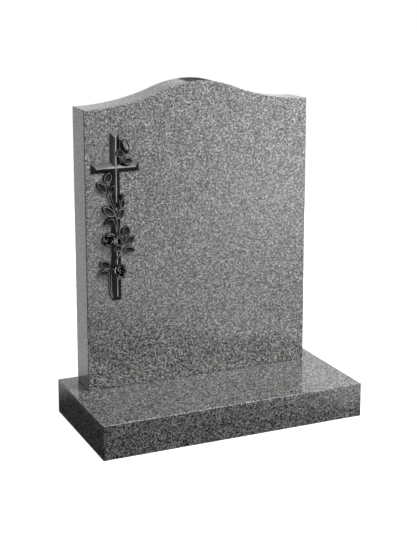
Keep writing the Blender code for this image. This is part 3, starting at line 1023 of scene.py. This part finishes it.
def model_rose(casting):
    """An open rose about the origin: a furled heart in whorls of petals, the outer ones lying back."""
    radius = casting.rose_radius
    depth = casting.rose_depth
    shapes = whorls_of(radius, depth, WHORLS, casting.petal_thickness, ROSE_LIP, ROSE_LEAN)
    shapes.append(turned_shape("heart", HEART, radius, depth))
    return joined("rose", shapes)


class HEADSTONE_OT_roses(Operator):
    """Model one open rose and set it in both places"""

    bl_idname = "headstone.roses"
    bl_label = "Open Roses"

    def execute(self, context):
        model = model_rose(context.scene.headstone_casting)
        shells = []
        for across, up, height, tilt, size in ROSES:
            frame_of_rose = flower_frame(at(across, up, height), (tilt[0], -1, tilt[1]))
            shells += cut_flat(copy_of(model, "rose", frame_of_rose @ Matrix.Scale(size, 4)))
        bpy.data.objects.remove(model)
        finish_casting(joined("open_roses", shells), context)
        return {"FINISHED"}


def model_bud(casting):
    """A long bud standing on the origin: narrow petals furled over one another, on a small round calyx."""
    half = casting.bud_width / 2
    length = (at(*BUD[1], 0) - at(*BUD[0], 0)).length
    shapes = whorls_of(half, length, BUD_WHORLS, casting.petal_thickness, BUD_LIP, BUD_LEAN)
    shapes.append(turned_shape("core", BUD_CORE, half, length))
    shapes.append(turned_shape("calyx", BUD_CALYX, half, length))
    bud = joined("bud", shapes)
    apply_modifier(bud, "SIMPLE_DEFORM", deform_method="TWIST", deform_axis="Z", angle=BUD_TWIST)
    return bud


def model_hip(radius):
    """A small round hip with a dimple at its crown."""
    deselect_all()
    bpy.ops.mesh.primitive_uv_sphere_add(segments=16, ring_count=10, radius=radius, location=(0, 0, 0))
    hip = bpy.context.object
    bpy.ops.object.mode_set(mode="EDIT")
    select(hip, "FACE", lambda face: face.calc_center_median().z > HIP_CROWN * radius)
    for width, rise in (HIP_RIM, HIP_DIMPLE):
        bpy.ops.mesh.inset(thickness=width * radius, depth=rise * radius)
    bpy.ops.object.mode_set(mode="OBJECT")
    subdivide_surface(hip, 1)
    mark_proud(hip, lambda co: 1.0 if co.xy.length > HIP_DARK * radius else 0.0)
    return hip


class HEADSTONE_OT_buds(Operator):
    """Build the rosebud and the small round hips"""

    bl_idname = "headstone.buds"
    bl_label = "Bud and Hips"

    def execute(self, context):
        casting = context.scene.headstone_casting
        base, tip, height = BUD
        start = at(*base, height)
        bud = model_bud(casting)
        shells = cut_flat(copy_of(bud, "bud", flower_frame(start, at(*tip, height) - start)))
        bpy.data.objects.remove(bud)
        hip = model_hip(casting.hip_radius)
        for across, up, height, size in HIPS:
            placed = flower_frame(at(across, up, height), OUTWARDS) @ Matrix.Scale(size, 4)
            shells += cut_flat(copy_of(hip, "hip", placed))
        bpy.data.objects.remove(hip)
        finish_casting(joined("bud_and_hips", shells), context)
        return {"FINISHED"}


def stage_plane(name, height):
    deselect_all()
    bpy.ops.mesh.primitive_plane_add(size=FLOOR_SIZE, location=(0, 0, height))
    plane = bpy.context.object
    plane.name = name
    material = new_material(name)
    plane.data.materials.append(material)
    return plane, material.node_tree


def add_floor():
    """The plain pale floor that the camera sees. The polish mirrors the lit ground under it instead."""
    floor, tree = stage_plane("floor", 0.0)
    floor.visible_diffuse = False
    floor.visible_glossy = False
    paint = add_node(tree, "ShaderNodeBsdfDiffuse", (0, 0), {"Color": FLOOR_PAINT})
    light = glow(tree, "ShaderNodeEmission", (0, -150), WHITE, FLOOR_GLOW)
    both = added(tree, (200, 0), paint.outputs[0], light)
    add_node(tree, "ShaderNodeOutputMaterial", (400, 0), {"Surface": both})


def add_ground():
    """The lit ground that only the polish mirrors: dim close round the base, brightest at the front right."""
    ground, tree = stage_plane("ground", -0.001)
    ground.visible_camera = False
    ground.visible_diffuse = False
    ground.visible_shadow = False
    coords = add_node(tree, "ShaderNodeTexCoord", (-1400, 0))
    split = add_node(tree, "ShaderNodeSeparateXYZ", (-1200, 0), {"Vector": coords.outputs["Object"]})
    x = split.outputs["X"]
    y = split.outputs["Y"]
    forwards = calculate(tree, "MULTIPLY", (-1000, 200), y, -1.0)
    round_about = calculate(tree, "ARCTAN2", (-800, 200), x, forwards)
    turn = remap(tree, round_about, (-600, 200), -math.pi, math.pi, curve="LINEAR")
    # The stops are shares of a full turn, from straight behind by way of the left, the front and the right.
    even_stops = (
        (0.00, 0.56), (0.25, 0.56), (0.36, 0.18), (0.44, 0.80), (0.52, 1.00),
        (0.66, 1.00), (0.71, 0.06), (0.84, 0.06), (0.90, 0.50),
    )
    right_stops = ((0.00, 0.0), (0.555, 0.0), (0.59, 1.0), (0.66, 1.0), (0.71, 0.0))
    reach_stops = (
        (0.00, 0.30), (0.38, 0.30), (0.44, 0.85), (0.52, 0.85),
        (0.58, 0.42), (0.61, 0.28), (0.645, 0.12), (1.00, 0.12),
    )
    even = grey_ramp(tree, turn, (-400, 300), even_stops)
    front_right = grey_ramp(tree, turn, (-400, 0), right_stops)
    reach = grey_ramp(tree, turn, (-400, 600), reach_stops)
    beside = []
    for axis, half in ((x, BASE_BOX[1].x), (y, BASE_BOX[1].y)):
        away = calculate(tree, "ABSOLUTE", (-1000, -100), axis)
        beside.append(calculate(tree, "SUBTRACT", (-800, -100), away, half))
    distance = calculate(tree, "MAXIMUM", (-600, -100), *beside)
    near = remap(tree, distance, (-400, -200), 0.03, reach, GROUND_BY_BASE, OPEN_GROUND)
    far = remap(tree, distance, (-400, -500), 0.2, 2.0, 0.0, FAR_GROUND)
    low = glow(tree, "ShaderNodeEmission", (-100, 0), even, near)
    high = glow(tree, "ShaderNodeEmission", (-100, -200), front_right, far)
    both = added(tree, (100, 0), low, high)
    add_node(tree, "ShaderNodeOutputMaterial", (300, 0), {"Surface": both})


def add_studio_world(ambient):
    """White behind the object. The polish mirrors a bright studio with one dark screen low behind."""
    world = bpy.data.worlds.new("studio")
    bpy.context.scene.world = world
    world.use_nodes = True
    tree = world.node_tree
    tree.nodes.clear()
    coords = add_node(tree, "ShaderNodeTexCoord", (-1200, 0))
    ray = add_node(tree, "ShaderNodeSeparateXYZ", (-1000, 0), {"Vector": coords.outputs["Generated"]}).outputs
    aside = calculate(tree, "ARCTAN2", (-800, 200), ray["X"], ray["Y"])
    # The dark screen's two sides and its top, and the overhead lamp's front, right and lower edges.
    screen_edges = (
        (aside, math.radians(20.8), math.radians(21.6)),
        (aside, math.radians(27.0), math.radians(26.2)),
        (ray["Z"], 0.28, 0.26),
    )
    lamp_edges = ((ray["Z"], 0.38, 0.60), (ray["Y"], -0.02, -0.30), (ray["X"], -0.30, 0.10))
    cover = []
    for value, start, stop in screen_edges:
        cover.append(remap(tree, value, (-600, 0), start, stop, curve="LINEAR"))
    overhead = []
    for value, start, stop in lamp_edges:
        overhead.append(remap(tree, value, (-600, -300), start, stop))
    screen = product(tree, (-400, 100), cover)
    lamp = product(tree, (-400, -300), overhead)
    wall = remap(tree, ray["Y"], (-600, -500), -0.68, -0.86, BACK_WALL, FRONT_WALL)
    level = calculate(tree, "MULTIPLY_ADD", (-250, -300), lamp, OVERHEAD_LAMP, wall)
    seen = glow(tree, "ShaderNodeBackground", (0, -400), WHITE, SEEN_WHITE)
    fill = glow(tree, "ShaderNodeBackground", (0, -250), (ambient, ambient, ambient, 1.0), 1.0)
    bright = glow(tree, "ShaderNodeBackground", (0, 100), WHITE, level)
    dark = glow(tree, "ShaderNodeBackground", (0, -50), WHITE, DARK_SCREEN)
    path = add_node(tree, "ShaderNodeLightPath", (200, 400)).outputs
    studio = mixed(tree, (200, 0), screen, bright, dark)
    lit = mixed(tree, (400, 0), path["Is Glossy Ray"], fill, studio)
    behind = mixed(tree, (600, 0), path["Is Camera Ray"], lit, seen)
    add_node(tree, "ShaderNodeOutputWorld", (800, 0), {"Surface": behind})


def add_softbox(name, place, power):
    """A soft square light at the place, turned to face the headstone."""
    light = bpy.data.lights.new(name, "AREA")
    light.shape = "RECTANGLE"
    light.size = SOFTBOX_SIZE
    light.size_y = SOFTBOX_SIZE
    light.energy = power
    lamp = bpy.data.objects.new(name, light)
    lamp.location = place
    lamp.visible_glossy = False
    lamp.rotation_euler = (LIGHT_AIM - place).to_track_quat("-Z", "Y").to_euler()
    bpy.context.scene.collection.objects.link(lamp)


def add_camera(stage):
    data = bpy.data.cameras.new("camera")
    data.lens = stage.lens
    data.sensor_width = 36.0
    data.shift_y = stage.shift
    data.clip_end = 100.0
    camera = bpy.data.objects.new("camera", data)
    camera.location = stage.camera_place
    camera.rotation_euler = (math.pi / 2 - stage.camera_dip, 0.0, -stage.camera_turn)
    bpy.context.scene.collection.objects.link(camera)
    bpy.context.scene.camera = camera


class HEADSTONE_OT_stage(Operator):
    """Add the camera, the soft studio light and the pale floor"""

    bl_idname = "headstone.stage"
    bl_label = "Stage"

    def execute(self, context):
        stage = context.scene.headstone_stage
        add_camera(stage)
        add_studio_world(stage.ambient)
        add_floor()
        add_ground()
        add_softbox("softbox", SOFTBOX_PLACE, stage.softbox_power)
        add_softbox("back_softbox", BACK_PLACE, stage.back_power)
        context.scene.view_settings.view_transform = "Standard"
        return {"FINISHED"}


class HEADSTONE_PT_panel(Panel):
    """Lists the pieces in the order in which they are built"""

    bl_label = "Ogee Headstone"
    bl_idname = "HEADSTONE_PT_panel"
    bl_space_type = "VIEW_3D"
    bl_region_type = "UI"
    bl_category = "Headstone"

    def draw(self, context):
        for operator in OPERATORS:
            self.layout.operator(operator.bl_idname)


SETTINGS = (
    ("headstone_stone", StoneSettings),
    ("headstone_casting", CastingSettings),
    ("headstone_stage", StageSettings),
)
OPERATORS = (
    HEADSTONE_OT_stage,
    HEADSTONE_OT_base,
    HEADSTONE_OT_ogee,
    HEADSTONE_OT_cross,
    HEADSTONE_OT_leaves,
    HEADSTONE_OT_stems,
    HEADSTONE_OT_roses,
    HEADSTONE_OT_buds,
)


def register():
    for name, group in SETTINGS:
        bpy.utils.register_class(group)
        setattr(bpy.types.Scene, name, PointerProperty(type=group))
    for operator in OPERATORS:
        bpy.utils.register_class(operator)
    bpy.utils.register_class(HEADSTONE_PT_panel)


def unregister():
    bpy.utils.unregister_class(HEADSTONE_PT_panel)
    for operator in reversed(OPERATORS):
        bpy.utils.unregister_class(operator)
    for name, group in reversed(SETTINGS):
        delattr(bpy.types.Scene, name)
        bpy.utils.unregister_class(group)


def main():
    register()
    bpy.ops.headstone.stage()
    bpy.ops.headstone.base()
    bpy.ops.headstone.ogee()
    bpy.ops.headstone.cross()
    bpy.ops.headstone.leaves()
    bpy.ops.headstone.stems()
    bpy.ops.headstone.roses()
    bpy.ops.headstone.buds()


if __name__ == "__main__":
    main()
